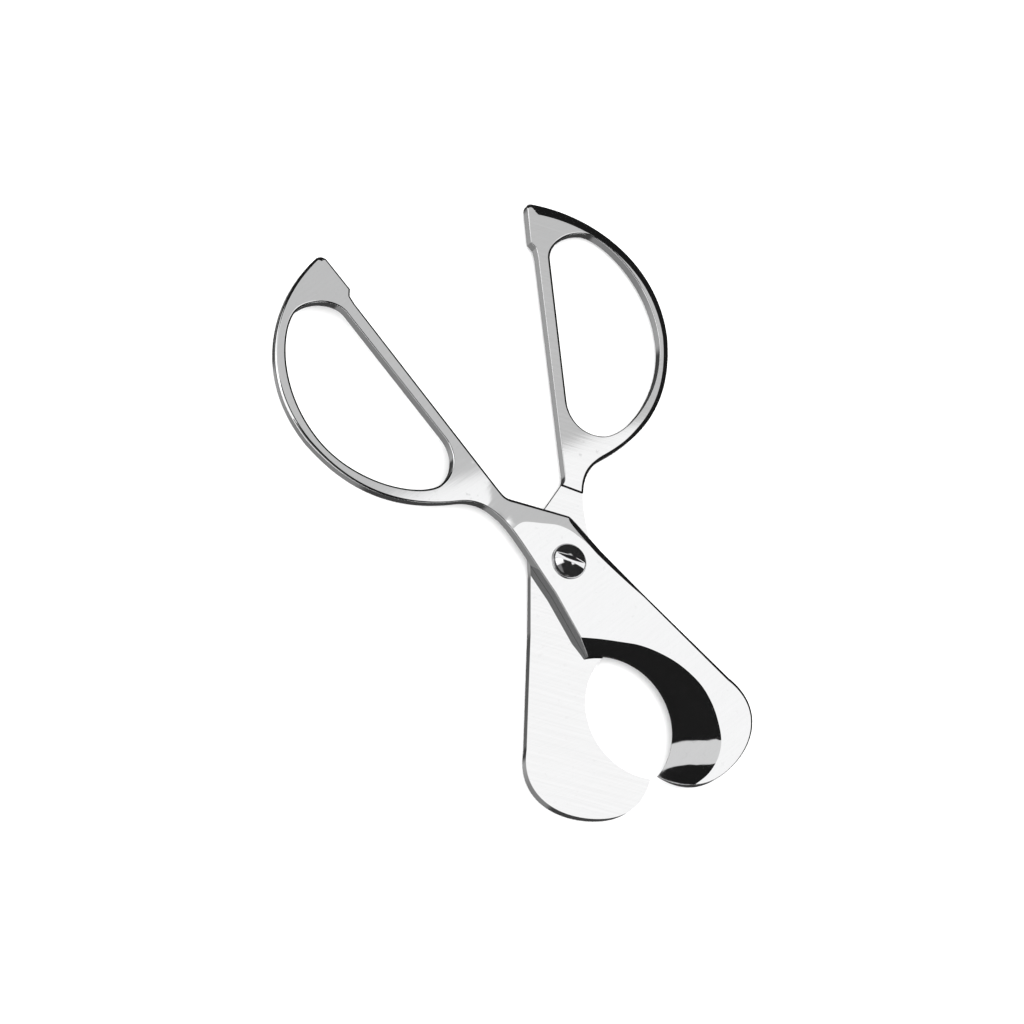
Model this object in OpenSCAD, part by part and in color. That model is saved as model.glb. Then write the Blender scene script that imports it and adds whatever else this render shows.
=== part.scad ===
// Cigar scissors: two forged steel halves that cross at a slotted pivot screw.
// Each half is drawn closed, with the pivot on the Z axis, its blade towards +Y and its finger loop on
// the +X side of the centre line. The rear half is the same forging turned over.
// The part lies flat: Z = 0 is the surface it rests on and +Z is the side of the screw's head.

/* [Pose] */
// Angle of each half from the centre line, with the scissors half open
rest_half_angle = 18; // [0:1:50]

/* [Thickness] */
// Thickness of each blade
blade_t = 2; // [1.2:0.1:3]
// Thickness of each finger loop, whose outer face is level with the blade's
loop_t = 2.4; // [2:0.1:3]
// Gap between the two mating faces
mating_gap = 0.06; // [0.02:0.02:0.2]

/* [Blade] */
// Radius of the round cutting edge
cut_r = 12.6; // [12.1:0.1:15]
// Width of the ground bevel behind the cutting edge
bevel_w = 5; // [1:0.5:8]
// Thickness that is left at the cutting edge
edge_land = 0.12; // [0.05:0.01:0.3]

/* [Neck] */
// Distance from the pivot to the shoulder, the step up to the loop's inner face
shoulder_y = 14; // [13:0.5:16]
// Slant of the shoulder across the neck
shoulder_slant = 8; // [0:1:15]

/* [Pivot] */
// Diameter of the screw's plain shoulder
shank_d = 3.6; // [3:0.1:4.5]
// Radial clearance of the shoulder in the front half
running_fit = 0.04; // [0.02:0.01:0.1]
// Diameter of the screw's threaded end
thread_d = 3; // [2:0.1:3.4]
// Diameter of the screw's head
head_d = 6.1; // [5:0.1:7]
// Height of the head's straight rim
rim_h = 0.3; // [0.2:0.1:0.6]
// Height of the dome above the rim
dome_h = 0.85; // [0.4:0.05:1.2]
// Width of the screwdriver slot
slot_w = 1; // [0.6:0.1:1.4]
// Depth of the screwdriver slot below the crown
slot_depth = 0.75; // [0.3:0.05:0.9]
// Direction of the slot
slot_angle = -39; // [-90:1:90]
// Diameter of the spring washer under the head
washer_d = 6.5; // [6:0.1:8]
// Thickness of the spring washer
washer_t = 0.25; // [0.15:0.05:0.5]

/* [Hidden] */

$fn = 96;
full_t = 2 * blade_t;
mating_z = blade_t;
cut_margin = 1;
curve_steps = 12;

// Plan of one half: corners and the ends of its curves
heel = [8.3, 15.2];
tip = [12, 39.1];
blade_root = [6.1, 3];
neck_out = [9.9, -20.4];
bow_side = [25.6, -44.6];
pad_end = [1.5, -69.8];
pad_low = [0.05, -68.6];
pad_top = [0.05, -61.8];
notch = [1, -60.8];
bar_low = [1.2, -59.2];
bar_top = [1.8, -17];
neck_in = [1, -14.8];
neck_corner = [-5.9, -6.3];
back_root = [-6.7, 2];
back_bend = [-7.9, 13];
back_end = [-10.9, 33.9];
nose = [1.3, 46.2];

// Centre of the round cutting edge, from the heel and the tip that it joins
chord = tip - heel;
chord_l = norm(chord);
across = [chord[1], -chord[0]] / chord_l;
cut_centre = (heel + tip) / 2 + across * sqrt(cut_r * cut_r - chord_l * chord_l / 4);

// Points of a cubic curve from a to d, which leaves towards b and arrives from c; a itself is left out
function curve(a, b, c, d) = [
    for (i = [1 : curve_steps])
        let (t = i / curve_steps, s = 1 - t)
            s * s * s * a + 3 * s * s * t * b + 3 * s * t * t * c + t * t * t * d
];

outline = concat(
    [heel, blade_root],
    curve(blade_root, [5.2, -9.5], [2.7, -16.6], neck_out),
    curve(neck_out, [22.4, -26.9], [25.2, -36.4], bow_side),
    curve(bow_side, [25.6, -59.4], [13.7, -68.3], pad_end),
    curve(pad_end, [0.7, -69.8], [0.1, -69.4], pad_low),
    [pad_top, notch, bar_low, bar_top],
    curve(bar_top, [1.8, -16], [1.6, -15.5], neck_in),
    [neck_corner],
    curve(neck_corner, [-6.3, -5.8], [-6.4, -4.6], back_root),
    [back_bend, back_end],
    curve(back_end, [-13, 41.9], [-6.5, 46.2], nose),
    curve(nose, [7.2, 46.2], [10.4, 43.3], tip)
);

// Opening of the finger loop
loop_bar_low = [3.6, -58.6];
loop_end = [10.7, -64.2];
loop_side = [23.6, -43.9];
loop_neck = [10.2, -24.5];
loop_bar_top = [3.8, -30.8];
loop_outline = concat(
    [loop_bar_low],
    curve(loop_bar_low, [3.5, -61.2], [6.7, -64.2], loop_end),
    curve(loop_end, [14.5, -64.2], [23.5, -56], loop_side),
    curve(loop_side, [23.7, -33.4], [14.8, -24.5], loop_neck),
    curve(loop_neck, [6.3, -24.5], [3.9, -27.4], loop_bar_top)
);

module half_plan() {
    difference() {
        polygon(outline);
        polygon(loop_outline);
    }
}

// Everything on the blade's side of the shoulder, from just inside the mating face downwards
module lap_space() {
    translate([0, -shoulder_y, -cut_margin])
        rotate([0, 0, shoulder_slant])
            translate([-50, 0, 0])
                cube([100, 100, mating_z + mating_gap / 2 + cut_margin]);
}

// The round cut and the bevel that opens upwards from it
module cutting_edge() {
    edge_z = mating_z + mating_gap / 2 + edge_land;
    grind_h = full_t - edge_z;
    translate([cut_centre[0], cut_centre[1], 0]) {
        translate([0, 0, -cut_margin])
            cylinder(h = full_t + 2 * cut_margin, r = cut_r);
        translate([0, 0, edge_z])
            cylinder(h = 2 * grind_h, r1 = cut_r, r2 = cut_r + 2 * bevel_w);
    }
}

// One half, closed, with its blade in the upper layer
module half(bore_d) {
    difference() {
        translate([0, 0, full_t - loop_t])
            linear_extrude(loop_t)
                half_plan();
        lap_space();
        cutting_edge();
        translate([0, 0, -cut_margin])
            cylinder(h = full_t + 2 * cut_margin, d = bore_d);
    }
}

module front_half() {
    color("gainsboro")
        rotate([0, 0, rest_half_angle])
            half(shank_d + 2 * running_fit);
}

module rear_half() {
    color("silver")
        rotate([0, 180, -rest_half_angle])
            translate([0, 0, -full_t])
                half(thread_d);
}

module screw_slot() {
    slot_bottom = full_t + washer_t + rim_h + dome_h - slot_depth;
    rotate([0, 0, slot_angle])
        translate([-head_d, -slot_w / 2, slot_bottom])
            cube([2 * head_d, slot_w, slot_depth + cut_margin]);
}

// Cap of a sphere of height dome_h over the head's rim
module dome() {
    rim_r = head_d / 2;
    sphere_r = (rim_r * rim_r + dome_h * dome_h) / (2 * dome_h);
    intersection() {
        translate([0, 0, dome_h - sphere_r])
            sphere(r = sphere_r);
        cylinder(h = dome_h, r = rim_r);
    }
}

module pivot_screw() {
    shoulder_z = mating_z - mating_gap / 2;
    head_z = full_t + washer_t;
    color("lightgray")
        difference() {
            union() {
                cylinder(h = shoulder_z, d = thread_d);
                translate([0, 0, shoulder_z])
                    cylinder(h = head_z - shoulder_z, d = shank_d);
                translate([0, 0, head_z])
                    cylinder(h = rim_h, d = head_d);
                translate([0, 0, head_z + rim_h])
                    dome();
            }
            screw_slot();
        }
}

module spring_washer() {
    color("darkgray")
        translate([0, 0, full_t])
            difference() {
                cylinder(h = washer_t, d = washer_d);
                translate([0, 0, -cut_margin])
                    cylinder(h = washer_t + 2 * cut_margin, d = shank_d);
            }
}

front_half();
rear_half();
pivot_screw();
spring_washer();
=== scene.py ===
# %% [markdown]
# # Cigar scissors in polished steel
# A small pair of scissors that closes round a cigar. Two forged halves cross at a slotted screw, each with
# a crescent blade at one end and a D-shaped finger loop at the other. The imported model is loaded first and
# stays fixed: every piece below is placed in its frame and rides on one of its bodies.

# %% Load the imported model
import math
import bpy
import numpy as np
from mathutils import Matrix, Vector
from mathutils.geometry import delaunay_2d_cdt
from mathutils.kdtree import KDTree


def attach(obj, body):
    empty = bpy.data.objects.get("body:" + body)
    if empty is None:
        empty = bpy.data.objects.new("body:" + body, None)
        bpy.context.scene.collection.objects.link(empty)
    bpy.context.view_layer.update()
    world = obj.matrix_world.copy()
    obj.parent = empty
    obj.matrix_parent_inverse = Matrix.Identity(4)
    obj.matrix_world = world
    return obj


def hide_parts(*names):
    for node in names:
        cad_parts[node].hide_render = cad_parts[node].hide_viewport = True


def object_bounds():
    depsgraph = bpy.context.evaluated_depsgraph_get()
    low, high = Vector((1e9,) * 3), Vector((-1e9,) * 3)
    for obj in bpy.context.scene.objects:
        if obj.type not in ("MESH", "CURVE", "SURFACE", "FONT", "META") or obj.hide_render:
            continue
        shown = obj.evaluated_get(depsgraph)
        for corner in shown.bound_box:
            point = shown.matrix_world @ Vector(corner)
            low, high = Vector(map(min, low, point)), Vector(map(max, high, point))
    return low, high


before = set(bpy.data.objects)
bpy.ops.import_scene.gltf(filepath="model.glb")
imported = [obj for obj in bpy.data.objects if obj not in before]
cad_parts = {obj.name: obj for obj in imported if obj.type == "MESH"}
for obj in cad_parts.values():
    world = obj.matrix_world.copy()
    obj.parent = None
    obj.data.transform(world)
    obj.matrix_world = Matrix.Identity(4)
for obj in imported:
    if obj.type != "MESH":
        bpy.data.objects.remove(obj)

MM = 0.001
cad_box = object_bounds()
print("size of the model, mm:", [round((high - low) / MM, 2) for low, high in zip(*cad_box)])

# %% [markdown]
# ## The camera
# The scissors lie flat and are seen from above and a little to one side, through a long lens that keeps
# both halves almost free of perspective. A camera could be placed by hand and aimed with a constraint. Here
# it is set by the point it looks at, its bearing, its height above the horizon, its distance and a roll
# about its own axis, because those five values are easy to read and to change.

# %% Place the camera
def aim_camera(target, bearing, height, distance, roll, lens):
    bearing, height, roll = math.radians(bearing), math.radians(height), math.radians(roll)
    toward_camera = Vector((math.cos(bearing), math.sin(bearing), 0))
    back = toward_camera * math.cos(height) + Vector((0, 0, math.sin(height)))
    level = back.cross(Vector((0, 0, -1))).normalized()
    upright = back.cross(level)
    right = level * math.cos(roll) + upright * math.sin(roll)
    up = back.cross(right)
    data = bpy.data.cameras.new("camera")
    data.lens = lens
    data.sensor_width = 36
    data.clip_start = 0.01
    camera = bpy.data.objects.new("camera", data)
    turn = Matrix((right, up, back)).transposed().to_4x4()
    camera.matrix_world = Matrix.Translation(Vector(target) + back * distance) @ turn
    bpy.context.collection.objects.link(camera)
    bpy.context.scene.camera = camera
    return camera


camera = aim_camera(target=(0.00552, -0.01198, 0.0018), bearing=21.15, height=60.61, distance=0.61,
                    roll=48.74, lens=121.24)
print("camera at, mm:", [round(v / MM, 1) for v in camera.matrix_world.translation])

# %% [markdown]
# ## Shader maths
# Every pattern below is a short sum of sockets and numbers. A small class wraps a socket and overloads the
# operators, so that `1 - mask` adds its own Math node, and one method adds any other node from its type, its
# settings and the values or links of its inputs.

# %% Wrap a socket in a small class
class Wire:
    """One output socket, with the operators that the patterns use."""
    def __init__(self, tree, socket):
        self.tree = tree
        self.socket = socket

    def node(self, kind, settings=None, out=0, **inputs):
        return add_node(self.tree, kind, settings, out, **inputs)

    def math(self, operation, first, second=None):
        values = {"0": first} if second is None else {"0": first, "1": second}
        return add_node(self.tree, "ShaderNodeMath", {"operation": operation}, 0, **values)

    def __add__(self, other):
        return self.math("ADD", self, other)

    def __sub__(self, other):
        return self.math("SUBTRACT", self, other)

    def __mul__(self, other):
        return self.math("MULTIPLY", self, other)

    def __truediv__(self, other):
        return self.math("DIVIDE", self, other)

    def __radd__(self, other):
        return self.math("ADD", other, self)

    def __rsub__(self, other):
        return self.math("SUBTRACT", other, self)

    def __rmul__(self, other):
        return self.math("MULTIPLY", other, self)

    def ramp(self, low, high, start=0.0, end=1.0):
        """Runs smoothly from start to end as the value goes from low to high."""
        return self.node("ShaderNodeMapRange", {"interpolation_type": "SMOOTHSTEP"},
                         Value=self, **{"From Min": low, "From Max": high, "To Min": start, "To Max": end})

    def between(self, low, high, soft):
        """1 between low and high, 0 outside, with soft edges."""
        return self.ramp(low - soft, low + soft) * self.ramp(high - soft, high + soft, 1.0, 0.0)


def add_node(tree, kind, settings=None, out=0, **inputs):
    """Adds a node, sets it up, fills or links its inputs by name or number, and gives one output."""
    node = tree.nodes.new(kind)
    for name, value in (settings or {}).items():
        setattr(node, name, value)
    for name, value in inputs.items():
        socket = node.inputs[int(name)] if name.isdigit() else node.inputs[name]
        if isinstance(value, Wire):
            tree.links.new(value.socket, socket)
        else:
            socket.default_value = value
    return Wire(tree, node.outputs[out])


# %% [markdown]
# ## The studio
# Polished steel has hardly any colour of its own: it shows the room. A studio could be built from area
# lights and real cards. Here the room is a world shader, because its cards then have exact edges and light
# nothing but reflections. A card is a patch of directions. A direction is written as how far it leans to X,
# called across, and to Y, called along, for each unit of height, so a card overhead is a rectangle. The
# soft light and the grey card meet in one crisp line, which the flat faces mirror: they are white towards
# the blades and grey towards the loops. The other cards lie around them and put bright streaks on the
# rounded edges and a grey band in the hollow of the blade. The rest of the room is dark, and so is the table
# that rays from below the horizon meet, apart from a lighter side next to the camera. Only mirrored rays
# see all this. The light on matt surfaces, and the background itself, are plain soft white.

# %% Light the studio
WHITE_ROOM = 2.2
DARK_ROOM = 0.012
LOWEST = 0.04       # directions flatter than this all count as this flat
TABLE, NEAR_TABLE, LOOP_TABLE = 0.06, 0.2, 0.15     # the table, what the near side adds, and the loops' end
EDGE = -0.2195      # the line where the soft light and the grey card meet
CARDS = {           # brightness, then from, to and softness of the edges, across and along
    "soft light": (1.13, (-0.76, -0.40, 0.03), (EDGE, 0.16, 0.003)),
    "grey card": (0.62, (-0.76, -0.40, 0.03), (-0.60, EDGE, 0.003)),
    "side light": (1.3, (0.95, 4.5, 0.06), (-0.9, 2.5, 0.1)),
    "dim wall": (0.2, (0.3, 0.95, 0.04), (-0.12, 0.6, 0.01)),
    "camera light": (1.2, (0.05, 0.95, 0.03), (-0.95, -0.12, 0.01)),
    "blade light": (1.3, (-1.6, 0.30, 0.06), (1.9, 5.0, 0.05)),
    "tip card": (0.75, (-0.45, 0.5, 0.03), (-0.55, -0.30, 0.006)),
}


def light_studio():
    world = bpy.data.worlds.new("studio")
    bpy.context.scene.world = world
    world.use_nodes = True
    tree = world.node_tree
    tree.nodes.clear()
    toward = add_node(tree, "ShaderNodeTexCoord", out=0)
    split = tree.nodes.new("ShaderNodeSeparateXYZ")
    tree.links.new(toward.socket, split.inputs[0])
    x, y, z = (Wire(tree, split.outputs[i]) for i in range(3))
    height = z.math("MAXIMUM", z, LOWEST)
    across = x / height
    along = y / height
    glow = DARK_ROOM
    for brightness, span_across, span_along in CARDS.values():
        glow = glow + across.between(*span_across) * along.between(*span_along) * brightness
    below = z.ramp(-0.05, 0.02, 1.0, 0.0)
    near_side = x.ramp(0.14, 0.26)
    table = TABLE + near_side * (NEAR_TABLE + y.ramp(-0.45, 0.0, LOOP_TABLE, 0.0))
    glow = glow * (1 - below) + below * table
    paths = tree.nodes.new("ShaderNodeLightPath")
    mirror = Wire(tree, paths.outputs["Is Glossy Ray"])
    strength = glow * mirror + (1 - mirror) * WHITE_ROOM
    light = add_node(tree, "ShaderNodeBackground", Color=(1, 1, 1, 1), Strength=strength)
    output = tree.nodes.new("ShaderNodeOutputWorld")
    tree.links.new(light.socket, output.inputs["Surface"])
    bpy.context.scene.view_settings.view_transform = "Standard"


light_studio()
print("studio lit with cards:", ", ".join(CARDS))

# %% [markdown]
# The floor is a plain pale sheet just under the scissors, and takes their soft contact shadow. It is left
# out of the steel's mirror images, as if the scissors lay on a thin stand over a dark table, because the
# side walls of polished steel on a pale sheet would vanish into it.

# %% Lay the floor
def lay_floor(half_width=4.0, clearance=0.2 * MM):
    level = cad_box[0][2] - clearance
    corners = [(x * half_width, y * half_width, level) for x, y in ((-1, -1), (1, -1), (1, 1), (-1, 1))]
    mesh = bpy.data.meshes.new("floor")
    mesh.from_pydata(corners, [], [(0, 1, 2, 3)])
    floor = bpy.data.objects.new("floor", mesh)
    bpy.context.collection.objects.link(floor)
    floor.visible_glossy = False
    matt = bpy.data.materials.new("matt_white")
    matt.use_nodes = True
    surface = matt.node_tree.nodes["Principled BSDF"]
    surface.inputs["Base Color"].default_value = (0.9, 0.9, 0.9, 1)
    surface.inputs["Roughness"].default_value = 1.0
    surface.inputs["Specular IOR Level"].default_value = 0.0
    mesh.materials.append(matt)
    return floor


floor = lay_floor()
print("floor at z, mm:", round(floor.data.vertices[0].co.z / MM, 2))

# %% [markdown]
# ## The plan of one half
# Both halves are one forging, and the rear one is the front one turned over. The plan is drawn closed, in
# millimetres, with the pivot at the origin, the blade towards +Y and the finger loop at +X. It could be
# drawn as a curve object and filled. Rows of points are used here, because every point of a row can carry
# its own width of polished edge. Straight edges and cubic curves join the corners.

# %% Draw the plan
FULL = 4.0          # thickness of both blades together, which is the height of the outer face
LOOP = 2.4          # thickness of the finger loop
LAP = 2.03          # height of the mating face
OPEN_HALF = 18      # angle of each half at rest
CUT_R = 12.6        # radius of the round cutting edge
EDGE_LAND = 0.12    # steel left at the cutting edge

heel, tip, blade_root, neck_out = (8.3, 15.2), (12.0, 39.1), (6.1, 3.0), (9.9, -20.4)
bow_side, pad_end, pad_low, pad_top = (25.6, -44.6), (1.5, -69.8), (0.05, -68.6), (0.05, -61.8)
notch, bar_low, bar_top, neck_in = (1.0, -60.8), (1.2, -59.2), (1.8, -17.0), (1.0, -14.8)
neck_corner, back_root, back_bend = (-5.9, -6.3), (-6.7, 2.0), (-7.9, 13.0)
back_end, nose = (-10.9, 33.9), (1.3, 46.2)


def straight(a, d, steps):
    """Points from a to d, without a itself."""
    t = np.linspace(0, 1, steps + 1)[1:, None]
    return (1 - t) * np.array(a) + t * np.array(d)


def curved(a, b, c, d, steps=48):
    """Points of a cubic curve that leaves a towards b and reaches d from c, without a itself."""
    t = np.linspace(0, 1, steps + 1)[1:, None]
    s = 1 - t
    return s**3 * np.array(a) + 3 * s**2 * t * np.array(b) + 3 * s * t**2 * np.array(c) + t**3 * np.array(d)


def cut_centre():
    chord = np.array(tip) - np.array(heel)
    across = np.array((chord[1], -chord[0])) / np.linalg.norm(chord)
    middle = (np.array(tip) + np.array(heel)) / 2
    return middle + across * math.sqrt(CUT_R**2 - np.dot(chord, chord) / 4)


CENTRE = cut_centre()


def cut_arc(steps=72):
    """Points of the round cutting edge from the tip to the heel, without the tip itself."""
    start = math.atan2(tip[1] - CENTRE[1], tip[0] - CENTRE[0])
    end = math.atan2(heel[1] - CENTRE[1], heel[0] - CENTRE[0]) + 2 * math.pi
    angle = np.linspace(start, end, steps + 1)[1:]
    return CENTRE + CUT_R * np.stack((np.cos(angle), np.sin(angle)), axis=1)


print("centre of the round cut, mm:", CENTRE.round(2))

# %% [markdown]
# The rim runs round the outside of the half. Each stretch is a row of points with the edge's width on the
# outer face at its two ends, the same on the inner face, and how much each swells between them. The broad
# edge of the bow swells at the pad, and the back of the blade is broad at the pivot and fine at the nose.
# A Bevel modifier has one width for a whole edge, so the widths are kept with the points instead.

# %% Collect the rims with their edge widths
def rim_of(stretches):
    """Joins the stretches to one ring: its points, and the outer and the inner edge width at each."""
    points, outer, inner = [], [], []
    for row, outer_ends, inner_ends, swell in stretches:
        t = np.linspace(0, 1, len(row) + 1)[1:]
        belly = 4 * t * (1 - t)
        points.append(row)
        outer.append(outer_ends[0] + (outer_ends[1] - outer_ends[0]) * t + swell[0] * belly)
        inner.append(inner_ends[0] + (inner_ends[1] - inner_ends[0]) * t + swell[1] * belly)
    return np.concatenate(points), np.concatenate(outer), np.concatenate(inner)


outside = rim_of([
    (straight(heel, blade_root, 12), (0.10, 0.2), (0.0, 0.0), (0, 0)),
    (curved(blade_root, (5.2, -9.5), (2.7, -16.6), neck_out), (0.2, 0.25), (0.3, 0.6), (0, 0)),
    (curved(neck_out, (22.4, -26.9), (25.2, -36.4), bow_side), (0.25, 0.55), (0.6, 1.15), (0, 0)),
    (curved(bow_side, (25.6, -59.4), (13.7, -68.3), pad_end), (0.55, 0.55), (1.15, 2.3), (0, 0.1)),
    (curved(pad_end, (0.7, -69.8), (0.1, -69.4), pad_low, 10), (0.55, 0.4), (2.3, 0.3), (0.5, 0)),
    (straight(pad_low, pad_top, 8), (0.4, 0.4), (0.3, 0.15), (0, 0)),
    (straight(pad_top, notch, 4), (0.4, 0.4), (0.15, 0.15), (0, 0)),
    (straight(notch, bar_low, 4), (0.4, 0.4), (0.15, 0.15), (0, 0)),
    (straight(bar_low, bar_top, 40), (0.4, 0.5), (0.15, 0.15), (0, 0)),
    (curved(bar_top, (1.8, -16.0), (1.6, -15.5), neck_in, 8), (0.5, 0.6), (0.15, 0.15), (0, 0)),
    (straight(neck_in, neck_corner, 16), (0.6, 0.5), (0.15, 0.0), (0, 0)),
    (curved(neck_corner, (-6.3, -5.8), (-6.4, -4.6), back_root, 20), (0.5, 1.25), (0.0, 0.0), (0.3, 0)),
    (straight(back_root, back_bend, 24), (1.25, 0.5), (0.0, 0.0), (0.1, 0)),
    (straight(back_bend, back_end, 24), (0.5, 0.65), (0.0, 0.0), (0, 0)),
    (curved(back_end, (-13.0, 41.9), (-6.5, 46.2), nose), (0.65, 0.12), (0.0, 0.0), (0, 0)),
    (curved(nose, (7.2, 46.2), (10.4, 43.3), tip, 32), (0.12, 0.08), (0.0, 0.0), (0, 0)),
    (cut_arc(), (0.0, 0.0), (0.0, 0.0), (0, 0)),
])
loop_start, loop_end, loop_side = (3.6, -58.6), (10.7, -64.2), (23.6, -43.9)
loop_neck, loop_bar = (10.2, -24.5), (3.8, -30.8)
opening = rim_of([
    (curved(loop_start, (3.5, -61.2), (6.7, -64.2), loop_end, 24), (0.2, 0.4), (0.5, 0.3), (0, 0)),
    (curved(loop_end, (14.5, -64.2), (23.5, -56.0), loop_side), (0.4, 0.45), (0.3, 0.15), (0, 0)),
    (curved(loop_side, (23.7, -33.4), (14.8, -24.5), loop_neck), (0.45, 0.45), (0.15, 0.2), (0, 0)),
    (curved(loop_neck, (6.3, -24.5), (3.9, -27.4), loop_bar, 24), (0.45, 0.2), (0.2, 0.45), (0, 0)),
    (straight(loop_bar, loop_start, 28), (0.2, 0.2), (0.45, 0.5), (0, 0)),
])
print("points on the rim and on the opening:", len(outside[0]), len(opening[0]))

# %% [markdown]
# ## Reliefs
# Everything on a half is a low relief over its plan. It could be carved with booleans and bevels, which
# leave slivers and uneven shading where wide edges meet. So one builder makes it from rules: the plan is cut
# into triangles that follow every crease, each point gets a height on the outer face and one on the inner
# face, and walls join the two along the rims. The polished edge is a part-round chamfer: it falls towards
# the rim as a straight slope mixed with a quarter round that ends upright at the wall.

# %% Find the distance to the rims
def nearest_edge(points, rim):
    """For each point: the distance to the rim, and the outer and inner edge widths there."""
    ends, *widths = rim
    starts = np.roll(ends, 1, axis=0)
    tree = KDTree(len(ends))
    for i, (x, y) in enumerate(ends):
        tree.insert((x, y, 0), i)
    tree.balance()
    near = np.array([tree.find((x, y, 0))[1] for x, y in points])
    best = np.full(len(points), 1e9)
    found = np.zeros((2, len(points)))
    for side in (near, (near + 1) % len(ends)):
        a, along = starts[side], ends[side] - starts[side]
        t = np.clip(((points - a) * along).sum(1) / (along * along).sum(1), 0, 1)
        gap = np.linalg.norm(points - (a + t[:, None] * along), axis=1)
        closer = gap < best
        best = np.where(closer, gap, best)
        for i, width in enumerate(widths):
            low, high = np.roll(width, 1)[side], width[side]
            found[i] = np.where(closer, low + (high - low) * t, found[i])
    return best, found[0], found[1]


def edge_drop(gap, width):
    """How far the polished edge lies below the face, at this distance from the rim.

    A narrow edge is round and as deep as 0.6 of its width. A broad one is flatter and shallower.
    """
    width = np.maximum(width, 1e-6)
    u = np.clip(1 - gap / width, 0, 1)
    depth = np.minimum(0.6 * width, 0.3 + 0.35 * (width - 0.5))
    round_share = np.clip(1.1 - 0.5 * width, 0.25, 1)
    return depth * ((1 - round_share) * u + round_share * (1 - np.sqrt(np.maximum(1 - u * u, 0))))


def inset_rows(rim, widths, fractions=(0.02, 0.08, 0.2, 0.4, 0.65, 1.0)):
    """Rows of points beside a rim, at these fractions of the edge width, left of the direction of travel."""
    ahead, behind = np.roll(rim, -1, axis=0) - rim, rim - np.roll(rim, 1, axis=0)
    normals = [np.stack((-s[:, 1], s[:, 0]), 1) / np.linalg.norm(s, axis=1)[:, None] for s in (ahead, behind)]
    middle = normals[0] + normals[1]
    middle = middle / np.maximum((middle * normals[0]).sum(1), 0.5)[:, None]
    return [rim + middle * (widths * fraction)[:, None] for fraction in fractions]


def inside(points, rims):
    """True for points within the outermost rim and outside every opening, by counting crossings."""
    within = np.zeros(len(points), bool)
    for rim in rims:
        a, b = np.roll(rim, 1, axis=0), rim
        x, y = points[:, 0, None], points[:, 1, None]
        crosses = (a[:, 1] > y) != (b[:, 1] > y)
        slope = (b[:, 0] - a[:, 0]) / np.where(b[:, 1] == a[:, 1], 1e-12, b[:, 1] - a[:, 1])
        within ^= (crosses & (x < a[:, 0] + (y - a[:, 1]) * slope)).sum(1) % 2 == 1
    return within


# %% [markdown]
# On mirror steel every triangle shows unless the shading is exact. So each corner of each triangle is given
# the true slope of the height function just inside that triangle: flat faces shade as one flat, rounded
# edges shade round, and a crease stays crisp because its two sides are measured on their own side.

# %% Measure the true slopes
def face_normals(plan, triangles, heights, nudge=0.2, step=0.002):
    """Outward normals of the upper and the lower face at each corner of each triangle."""
    corner = plan[triangles]
    probe = (corner + nudge * (corner.mean(axis=1, keepdims=True) - corner)).reshape(-1, 2)
    at, east, north = (heights(probe + shift) for shift in ((0, 0), (step, 0), (0, step)))
    normals = []
    for side, up in ((0, 1), (1, -1)):
        slope = np.stack((at[side] - east[side], at[side] - north[side], np.full(len(probe), step)), 1)
        slope = up * slope / np.linalg.norm(slope, axis=1)[:, None]
        normals.append(slope.reshape(-1, 3, 3))
    return normals


def wall_normals(plan, walls, crisp=0.85):
    """Level outward normals at the two ends of each wall, shared round a curve and split at a corner."""
    along = plan[walls[:, 1]] - plan[walls[:, 0]]
    flat = np.stack((along[:, 1], -along[:, 0], np.zeros(len(walls))), 1)
    flat = flat / np.linalg.norm(flat, axis=1)[:, None]
    starts = {a: i for i, a in enumerate(walls[:, 0])}
    ends = {b: i for i, b in enumerate(walls[:, 1])}
    shared = np.stack((flat, flat), 1)
    for i, (a, b) in enumerate(walls):
        for end, other in ((0, ends[a]), (1, starts[b])):
            if flat[i] @ flat[other] > crisp:
                middle = flat[i] + flat[other]
                shared[i, end] = middle / np.linalg.norm(middle)
    return shared


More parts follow.
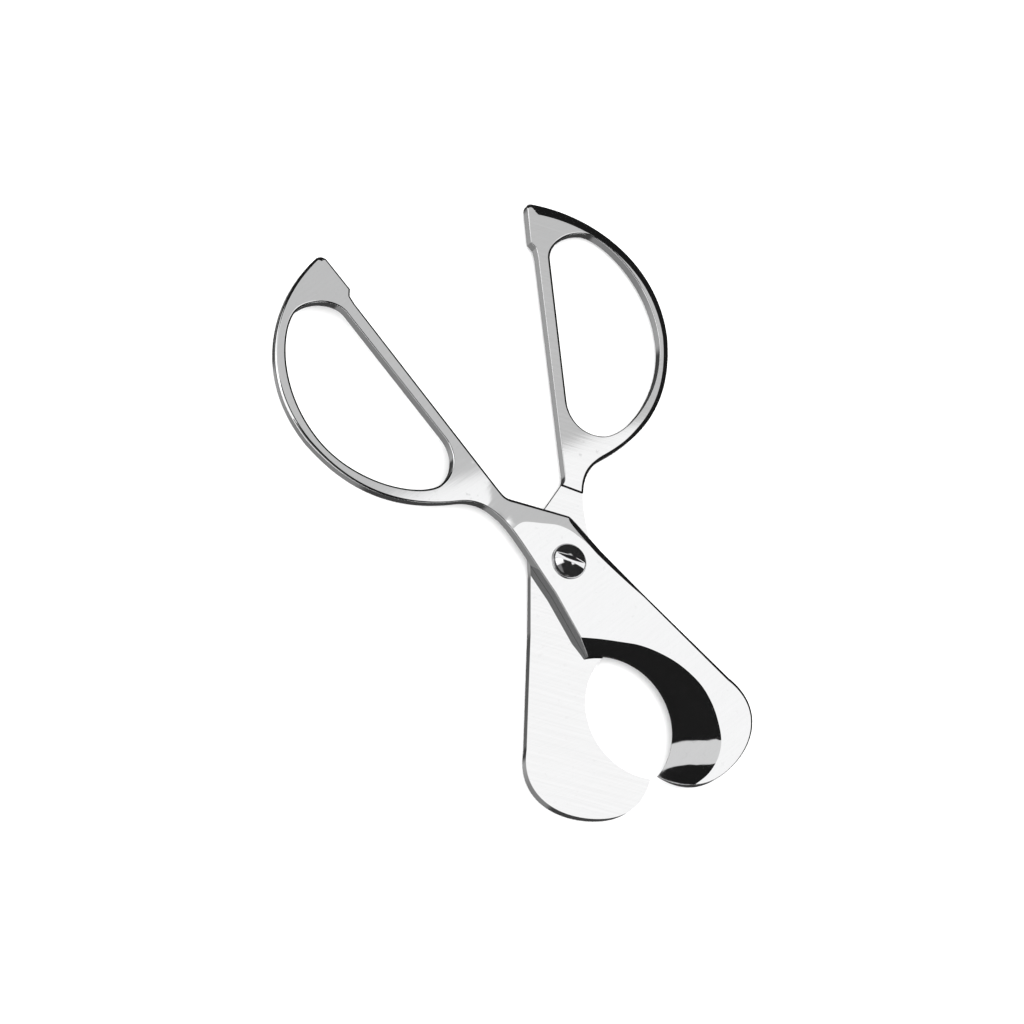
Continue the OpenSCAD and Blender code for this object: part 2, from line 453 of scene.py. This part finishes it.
# %% Build a relief
def relief(name, rims, creases, heights, turn):
    """A closed solid over the plan inside the rims.

    heights(points) gives the heights of its two faces, in mm, and turn places it in the frame.
    """
    points, edges = [], []
    for row, closed in [(rim, True) for rim in rims] + creases:
        first = len(points)
        points.extend(Vector((float(x), float(y))) for x, y in row)
        edges.extend((first + i, first + i + 1) for i in range(len(row) - 1))
        if closed:
            edges.append((len(points) - 1, first))
    flat, _, triangles, *_ = delaunay_2d_cdt(points, edges, [], 0, 1e-4, False)
    plan = np.array([(v.x, v.y) for v in flat])
    triangles = np.array(triangles)
    triangles = triangles[inside(plan[triangles].mean(axis=1), rims)]
    used = np.unique(triangles)
    number = np.full(len(plan), -1)
    number[used] = np.arange(len(used))
    plan, triangles = plan[used], number[triangles]
    corner = plan[triangles]
    first, second = corner[:, 1] - corner[:, 0], corner[:, 2] - corner[:, 0]
    clockwise = first[:, 0] * second[:, 1] < first[:, 1] * second[:, 0]
    triangles[clockwise] = triangles[clockwise][:, ::-1]
    sides = np.concatenate([triangles[:, (0, 1)], triangles[:, (1, 2)], triangles[:, (2, 0)]]).tolist()
    seen = {tuple(side) for side in sides}
    walls = np.array([side for side in sides if (side[1], side[0]) not in seen])
    count = len(plan)
    upper, lower = heights(plan)
    top, under = face_normals(plan, triangles, heights)
    ends = wall_normals(plan, walls)
    faces = triangles.tolist() + (triangles[:, ::-1] + count).tolist()
    faces += [[b, a, a + count, b + count] for a, b in walls.tolist()]
    normals = np.concatenate([top.reshape(-1, 3), under[:, ::-1].reshape(-1, 3),
                              ends[:, (1, 0, 0, 1)].reshape(-1, 3)])
    solid = np.concatenate([np.column_stack((plan, upper)), np.column_stack((plan, lower))]) * MM
    spin = np.array(turn.to_3x3())
    mesh = bpy.data.meshes.new(name)
    mesh.from_pydata((solid @ spin.T + np.array(turn.translation)).tolist(), [], faces)
    if mesh.validate():
        print(name, "had faces that Blender dropped")
    mesh.shade_smooth()
    mesh.normals_split_custom_set((normals @ spin.T).tolist())
    piece = bpy.data.objects.new(name, mesh)
    bpy.context.collection.objects.link(piece)
    print(name, "vertices:", len(mesh.vertices), "faces:", len(mesh.polygons))
    return piece


# %% [markdown]
# ## The blade's hollow, the waist and the shoulder
# A grinding wheel has hollowed the outer face behind the round cutting edge. The hollow is narrow at the
# heel and broad near the tip, and it climbs from the thin cutting edge to the flat face. At the waist the
# outer face dips from the blade to the loop, which lies a little lower: the dip starts at a crisp bent line
# across the neck. The shoulder is the small step on the inner face between the blade and the thicker loop.
# A sphere could be cut away for the hollow, but its border here follows no circle, so it is drawn as a
# smooth line and the height is shared out between that line and the cutting edge.

# %% Shape the two faces
def smooth_line(knots, steps=96):
    """A smooth row of points through the knots."""
    knots = np.array(knots, float)
    slope = np.gradient(knots, axis=0)
    rows = []
    for i in range(len(knots) - 1):
        t = np.linspace(0, 1, steps // (len(knots) - 1) + 1)[:, None]
        t = t if i == len(knots) - 2 else t[:-1]
        rows.append((2 * t**3 - 3 * t**2 + 1) * knots[i] + (t**3 - 2 * t**2 + t) * slope[i]
                    + (3 * t**2 - 2 * t**3) * knots[i + 1] + (t**3 - t**2) * slope[i + 1])
    return np.concatenate(rows)


# The hollow's border from the heel to the tip, and the bent line where the waist's dip starts
HOLLOW = smooth_line([(10.5, 9.4), (7.7, 11.7), (4.8, 14.1), (2.0, 16.7), (-0.7, 19.4), (-2.9, 22.7),
                      (-4.6, 26.6), (-5.4, 31.2), (-4.9, 35.0), (-3.6, 38.3), (-1.6, 41.4), (1.2, 43.4),
                      (4.7, 44.4), (8.6, 44.3)])
WAIST = smooth_line([(6.5, -10.6), (4.4, -10.6), (3.0, -10.6), (1.7, -10.1), (-0.6, -8.2), (-2.8, -6.3),
                     (-4.1, -4.3), (-4.7, -2.5), (-5.2, -0.6), (-5.5, 2.2)], 72)
SHOULDER = (0.0, -15.4)
SLANT = math.radians(19)
STEP = 0.05         # run of the shoulder's steep face
WAIST_DROP = 0.3    # how far the loop's outer face lies below the blade's
WAIST_REACH = (11.0, 6.4)   # length of the dip at the back of the neck and on the loop's side
WAIST_TURN = (2.0, 5.0)     # between these x the length changes from one to the other
WAIST_FADE = (-2.0, 3.0)    # between these y the dip runs out
HOLLOW_FROM = 8.0   # the hollow lies past this y
HOLLOW_CURVE = 0.2  # how much the hollow is dished
HEEL_LAND = 0.8     # extra steel that is left at the edge at the heel
HEEL_RUN = 5.0      # length over which it runs out


def signed_gap(points, line):
    """Distance to an open line, positive on the left of its direction of travel."""
    a, b = line[:-1], line[1:]
    side = b - a
    p = points[:, None, :]
    t = np.clip(((p - a) * side).sum(2) / (side * side).sum(1), 0, 1)
    away = p - (a + t[..., None] * side)
    gap = np.linalg.norm(away, axis=2)
    k = gap.argmin(axis=1)
    row = np.arange(len(points))
    turn = side[k, 0] * away[row, k, 1] - side[k, 1] * away[row, k, 0]
    return np.where(turn >= 0, 1, -1) * gap[row, k]


def past_shoulder(points):
    """Distance past the slanted shoulder, towards the blade."""
    return -math.sin(SLANT) * (points[:, 0] - SHOULDER[0]) + math.cos(SLANT) * (points[:, 1] - SHOULDER[1])


def half_faces(rims):
    """The height function of one half: its outer and its inner face, in mm."""
    def heights(points):
        outer_drop, inner_drop = np.zeros(len(points)), np.zeros(len(points))
        for rim in rims:
            gap, outer, inner = nearest_edge(points, rim)
            outer_drop = np.maximum(outer_drop, edge_drop(gap, outer))
            inner_drop = np.maximum(inner_drop, edge_drop(gap, inner))
        to_cut = np.maximum(np.linalg.norm(points - CENTRE, axis=1) - CUT_R, 0)
        to_flat = np.maximum(-signed_gap(points, HOLLOW), 0)
        share = to_cut / np.maximum(to_cut + to_flat, 1e-6)
        edge = LAP + EDGE_LAND + HEEL_LAND * np.interp(points[:, 1], (heel[1], heel[1] + HEEL_RUN), (1, 0))
        hollow = edge + (FULL - edge) * ((1 - HOLLOW_CURVE) * share + HOLLOW_CURVE * share * share)
        flat = np.where((points[:, 1] > HOLLOW_FROM) & (to_flat > 0), hollow, FULL)
        reach = np.interp(points[:, 0], WAIST_TURN, WAIST_REACH)
        down = np.clip(signed_gap(points, WAIST) / reach, 0, 1)
        fade = np.interp(points[:, 1], WAIST_FADE, (1, 0))
        flat = flat - WAIST_DROP * (1 - (1 - down)**2) * fade
        upper = flat - outer_drop
        past = past_shoulder(points)
        lower = FULL - LOOP + np.where(past <= 0, inner_drop, 0)
        lower = np.maximum(lower, FULL - LOOP + np.clip(past / STEP, 0, 1) * (LAP - FULL + LOOP))
        return upper, lower
    return heights


def circle(radius, steps=72):
    angle = np.linspace(0, 2 * math.pi, steps, endpoint=False)
    return radius * np.stack((np.cos(angle), np.sin(angle)), axis=1)


def build_half(name, bore, turn):
    """One half with a bore of this radius, with every line along which its slope changes as a crease."""
    bore_rim = circle(bore)[::-1]
    sharp = np.zeros(len(bore_rim))
    rims = [tuple(part[::-1] for part in rim) for rim in (outside, opening)] + [(bore_rim, sharp, sharp)]
    creases = []
    for rim, outer, inner in rims[:2]:
        for widths in (outer, inner):
            creases += [(row, True) for row in inset_rows(rim, widths)]
    arc = np.concatenate([[np.array(tip)], cut_arc()])[::-1]
    reach = HOLLOW[np.linspace(0, len(HOLLOW) - 1, len(arc)).astype(int)]
    creases.append((HOLLOW, False))
    for share in (0.15, 0.3, 0.45, 0.6, 0.75, 0.9):
        creases.append((arc * (1 - share) + reach * share, False))
    creases.append((WAIST, False))
    along = np.array((math.cos(SLANT), math.sin(SLANT)))
    for offset in (0, STEP):
        start = np.array(SHOULDER) + offset * np.array((-along[1], along[0]))
        creases.append((np.stack([start - 8 * along, start + 10 * along]), False))
    return relief(name, [rim for rim, *_ in rims], creases, half_faces(rims), turn)


SHANK_R, THREAD_R, RUNNING_FIT = 1.8, 1.5, 0.04

front = build_half("front_blade_and_loop", SHANK_R + RUNNING_FIT,
                   Matrix.Rotation(math.radians(OPEN_HALF), 4, "Z"))
turned_over = (Matrix.Rotation(math.radians(-OPEN_HALF), 4, "Z") @ Matrix.Rotation(math.pi, 4, "Y")
               @ Matrix.Translation((0, 0, -FULL * MM)))
rear = build_half("rear_blade_and_loop", THREAD_R, turned_over)

# %% [markdown]
# ## Steel finishes
# The pieces are all bare steel, so one recipe makes every finish. Pictures of steel would blur close up and
# repeat, so the marks are made from noise. Long, thin noise gives the hairlines that a polishing wheel or a
# grinder leaves, broad noise gives the faint waves of a hand-polished face, and spots give the wear of use:
# small duller marks. The hairlines and the spots change the colour and the roughness a little, patches of
# duller polish change the roughness alone, and the waves and the hairlines raise a very low bump.

# %% Make the finishes
def hairlines(tree, angle, spacing, length):
    """Noise drawn out along one direction, between 0 and 1. Sizes in mm."""
    place = add_node(tree, "ShaderNodeTexCoord", out=3)
    turned = add_node(tree, "ShaderNodeMapping", {"vector_type": "TEXTURE"}, Vector=place,
                      **{"Rotation": (0, 0, math.radians(angle)),
                         "Scale": (spacing * MM, length * MM, spacing * MM)})
    return add_node(tree, "ShaderNodeTexNoise", Vector=turned, Scale=1.0, Detail=3.0, Roughness=0.6)


def waves(tree, size, detail=1.0):
    """Round noise of this size in mm, between 0 and 1."""
    place = add_node(tree, "ShaderNodeTexCoord", out=3)
    return add_node(tree, "ShaderNodeTexNoise", Vector=place, Scale=1 / (size * MM), Detail=detail)


WEAR_SIZE, WAVE_SIZE, CLOUD_SIZE = 1.1, 16.0, 14.0   # worn spots, waves and patches of duller polish, mm


def steel(name, tone, roughness, lines, line_share=0.06, wave=1.5e-5, line_height=4e-7):
    """A finish. lines holds the hairlines' direction in degrees and their spacing and length in mm.

    line_share is how much they change the colour. wave and line_height are the bumps' heights in metres.
    """
    material = bpy.data.materials.new(name)
    material.use_nodes = True
    tree = material.node_tree
    surface = tree.nodes["Principled BSDF"]
    surface.inputs["Metallic"].default_value = 1.0
    angle, spacing, length = lines
    streak = hairlines(tree, angle, spacing, length)
    fine = hairlines(tree, angle + 37, spacing * 0.6, length * 0.4)
    wear = waves(tree, WEAR_SIZE, 4.0).ramp(0.62, 0.74)
    dull = waves(tree, CLOUD_SIZE, 2.0)
    shade = 1 + (streak - 0.5) * line_share + (fine - 0.5) * (line_share * 0.4) - wear * 0.03
    colour = add_node(tree, "ShaderNodeVectorMath", {"operation": "SCALE"}, **{"0": tone, "Scale": shade})
    tree.links.new(colour.socket, surface.inputs["Base Color"])
    gloss = roughness * (0.7 + 0.6 * dull) + (streak - 0.5) * (roughness * 0.8) + wear * 0.05
    tree.links.new(gloss.socket, surface.inputs["Roughness"])
    broad = add_node(tree, "ShaderNodeBump", Height=waves(tree, WAVE_SIZE), Strength=1.0, Distance=wave)
    fine_bump = add_node(tree, "ShaderNodeBump", Height=streak, Strength=1.0, Distance=line_height,
                         Normal=broad)
    tree.links.new(fine_bump.socket, surface.inputs["Normal"])
    return material


polished = steel("polished_steel", tone=(0.800, 0.802, 0.806), roughness=0.03, lines=(107, 0.5, 12.0))
ground = steel("ground_steel", tone=(0.800, 0.801, 0.803), roughness=0.025, lines=(57, 0.45, 18.0),
               line_share=0.12)
screw_steel = steel("screw_steel", tone=(0.78, 0.78, 0.79), roughness=0.09, lines=(51, 0.25, 3.0),
                    line_share=0.10, wave=1e-5)
washer_steel = steel("washer_steel", tone=(0.74, 0.74, 0.75), roughness=0.14, lines=(20, 0.2, 1.5),
                     line_share=0.12, wave=1e-5)
print("finishes:", [m.name for m in (polished, ground, screw_steel, washer_steel)])

# %% [markdown]
# ## The screw
# The head is a low dome with a slot sawn across it and a small chamfer round its rim. A boolean could saw
# the slot. The relief builder does it more cleanly: the dome is part of a sphere over a circle, the slot
# lowers it in a straight band, and the slot's lips are eased a little so that they catch the light.

# %% Turn the head
WASHER_T = 0.25
HEAD_Z, HEAD_R, RIM_H, DOME_H = FULL + WASHER_T, 3.05, 0.3, 0.85
SLOT_HALF, SLOT_DEPTH, SLOT_TURN = 0.5, 0.75, math.radians(-39)
SLOT_Z = HEAD_Z + RIM_H + DOME_H - SLOT_DEPTH
SLOT_WALL = 0.02    # run of the slot's steep walls
LIP = 0.07          # width and depth of its eased lips
CHAMFER = 0.2       # width of the chamfer round the head


def head_faces(points):
    """The height function of the head: its sawn dome and its flat underside."""
    away = np.hypot(points[:, 0], points[:, 1])
    sphere = (HEAD_R**2 + DOME_H**2) / (2 * DOME_H)
    dome = HEAD_Z + RIM_H + DOME_H - sphere + np.sqrt(np.maximum(sphere**2 - away**2, 0))
    dome = dome - np.maximum(away - (HEAD_R - CHAMFER), 0)
    beside = np.abs(points[:, 1] * math.cos(SLOT_TURN) - points[:, 0] * math.sin(SLOT_TURN)) - SLOT_HALF
    wall = SLOT_Z + np.clip(beside / SLOT_WALL, 0, 1) * (dome - LIP - SLOT_Z)
    lip = dome - np.clip(LIP - (beside - SLOT_WALL), 0, LIP)
    sawn = np.where(beside < SLOT_WALL, wall, lip)
    return np.minimum(dome, sawn), np.full(len(points), HEAD_Z)


def head_lines(overshoot=0.02):
    """The head's creases: rings over the dome and lines along the slot."""
    radii = (0.6, 1.1, 1.6, 2.0, 2.3, 2.5, HEAD_R - CHAMFER, HEAD_R - CHAMFER / 2)
    lines = [(circle(radius, 48), True) for radius in radii]
    ahead = np.array((math.cos(SLOT_TURN), math.sin(SLOT_TURN)))
    beside = np.array((-ahead[1], ahead[0]))
    for offset in (SLOT_HALF, SLOT_HALF + SLOT_WALL, SLOT_HALF + SLOT_WALL + LIP):
        reach = math.sqrt(HEAD_R**2 - offset**2) + overshoot
        for side in (-1, 1):
            lines.append((side * offset * beside + np.linspace(-reach, reach, 25)[:, None] * ahead, False))
    return lines


head = relief("screw_head", [circle(HEAD_R, 96)], head_lines(), head_faces, Matrix.Identity(4))

# %% [markdown]
# The shoulder and the thread are made by a node tree. The shoulder is plain, because the front half turns
# on it, and the thread is a six-sided wire that climbs round a core, one turn for each pitch. A Screw
# modifier could sweep it too, but a tree names every size of a screw as an input, so the same tree makes a
# longer or a coarser one. The screw ends inside the rear half, flush with its outer face.

# %% Screw the thread round its core
def new_tree(name, inputs):
    """An empty geometry tree with these named inputs, and a wire from each of them."""
    tree = bpy.data.node_groups.new(name, "GeometryNodeTree")
    for label, kind in inputs:
        tree.interface.new_socket(label, in_out="INPUT", socket_type=kind)
    tree.interface.new_socket("Geometry", in_out="OUTPUT", socket_type="NodeSocketGeometry")
    entry = tree.nodes.new("NodeGroupInput")
    return tree, {label: Wire(tree, entry.outputs[label]) for label, _ in inputs}


def grow(name, tree, values):
    """Run a tree with these input values and keep the result as a plain mesh."""
    seed = bpy.data.objects.new(name, bpy.data.meshes.new(name))
    bpy.context.collection.objects.link(seed)
    modifier = seed.modifiers.new("tree", "NODES")
    modifier.node_group = tree
    for item in tree.interface.items_tree:
        if item.in_out == "INPUT":
            modifier[item.identifier] = values[item.name]
    graph = bpy.context.evaluated_depsgraph_get()
    mesh = bpy.data.meshes.new_from_object(seed.evaluated_get(graph))
    seed.modifiers.clear()
    seed.data = mesh
    print(name, "vertices:", len(mesh.vertices), "faces:", len(mesh.polygons))
    return seed


def finish_tree(tree, parts, material):
    """Joins the parts, makes instances real, gives them their finish and sends them to the output."""
    joined = tree.nodes.new("GeometryNodeJoinGeometry")
    for part in parts:
        tree.links.new(part.socket, joined.inputs[0])
    real = add_node(tree, "GeometryNodeRealizeInstances", Geometry=Wire(tree, joined.outputs[0]))
    painted = add_node(tree, "GeometryNodeSetMaterial", Geometry=real, Material=material)
    output = tree.nodes.new("NodeGroupOutput")
    tree.links.new(painted.socket, output.inputs["Geometry"])


def shift_up(tree, part, height):
    up = add_node(tree, "ShaderNodeCombineXYZ", Z=height)
    return add_node(tree, "GeometryNodeTransform", Geometry=part, Translation=up)


number, whole = "NodeSocketFloat", "NodeSocketInt"
tree, given = new_tree("threaded_shank", [
    ("Core radius", number), ("Crest radius", number), ("Pitch", number), ("Thread length", number),
    ("Shoulder radius", number), ("Shoulder length", number), ("Sides", whole)])
core = add_node(tree, "GeometryNodeMeshCylinder", Vertices=given["Sides"], Radius=given["Core radius"],
                Depth=given["Thread length"])
core = shift_up(tree, core, given["Thread length"] * 0.5)
shoulder = add_node(tree, "GeometryNodeMeshCylinder", Vertices=given["Sides"],
                    Radius=given["Shoulder radius"], Depth=given["Shoulder length"])
shoulder = shift_up(tree, shoulder, given["Thread length"] + given["Shoulder length"] * 0.5)
wire = (given["Crest radius"] - given["Core radius"]) / 1.5
climb = given["Thread length"] - wire * 2
middle = given["Core radius"] + wire * 0.5
path = add_node(tree, "GeometryNodeCurveSpiral", Resolution=40, Rotations=climb / given["Pitch"],
                Height=climb, **{"Start Radius": middle, "End Radius": middle})
bead = add_node(tree, "GeometryNodeCurvePrimitiveCircle", Resolution=6, Radius=wire)
thread = add_node(tree, "GeometryNodeCurveToMesh", Curve=path, **{"Profile Curve": bead, "Fill Caps": True})
thread = shift_up(tree, thread, wire)
finish_tree(tree, (core, shoulder, thread), screw_steel)
SHOULDER_Z = 1.97    # the plain shoulder starts at the rear half's mating face
shank = grow("screw_shank_and_thread", tree, {
    "Core radius": 1.26 * MM, "Crest radius": 1.48 * MM, "Pitch": 0.5 * MM, "Thread length": SHOULDER_Z * MM,
    "Shoulder radius": SHANK_R * MM, "Shoulder length": (HEAD_Z - SHOULDER_Z) * MM, "Sides": 64})

# %% [markdown]
# The spring washer is a flat ring with eased edges. A cylinder with a hole would have sharp ones, so a
# rounded bar follows a circle instead. Its rim shows round the head as a thin line.

# %% Bend the washer
tree, given = new_tree("ring", [("Inner radius", number), ("Outer radius", number), ("Thickness", number),
                                ("Edge round", number), ("Height", number), ("Sides", whole)])
middle = (given["Inner radius"] + given["Outer radius"]) * 0.5
path = add_node(tree, "GeometryNodeCurvePrimitiveCircle", Resolution=given["Sides"], Radius=middle)
width = given["Outer radius"] - given["Inner radius"]
bar = add_node(tree, "GeometryNodeCurvePrimitiveQuadrilateral", Width=width, Height=given["Thickness"])
bar = add_node(tree, "GeometryNodeFilletCurve", {"mode": "POLY"}, Curve=bar, Radius=given["Edge round"],
               Count=4)
ring = add_node(tree, "GeometryNodeCurveToMesh", Curve=path, **{"Profile Curve": bar})
ring = shift_up(tree, ring, given["Height"])
finish_tree(tree, (ring,), washer_steel)
washer = grow("spring_washer_ring", tree, {
    "Inner radius": 1.81 * MM, "Outer radius": 3.25 * MM, "Thickness": WASHER_T * MM, "Edge round": 0.07 * MM,
    "Height": (FULL + WASHER_T / 2) * MM, "Sides": 96})
low, high = washer.bound_box[0], washer.bound_box[6]
print("washer from", [round(v / MM, 2) for v in low], "to", [round(v / MM, 2) for v in high])

# %% [markdown]
# ## Fitting the pieces
# Each piece rides on the body that carries it and takes the place of its plain node. Nothing is parented
# or animated by hand, so one list of pieces is enough. The screw turns with the rear half, because it is
# screwed into it, and the washer turns with the screw.

# %% Fit the pieces to their bodies
for piece, finish in ((front, polished), (rear, ground), (head, screw_steel)):
    piece.data.materials.append(finish)
for piece, body, node, slot in (
        (front, "front", "front_half", "polished_steel"),
        (rear, "rear", "rear_half", "ground_steel"),
        (head, "rear", "pivot_screw", "screw_steel"),
        (shank, "rear", "pivot_screw", "screw_steel"),
        (washer, "rear", "spring_washer", "washer_steel")):
    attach(piece, body)
    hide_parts(node)
    print(piece.name, "rides on", body, "for", node)
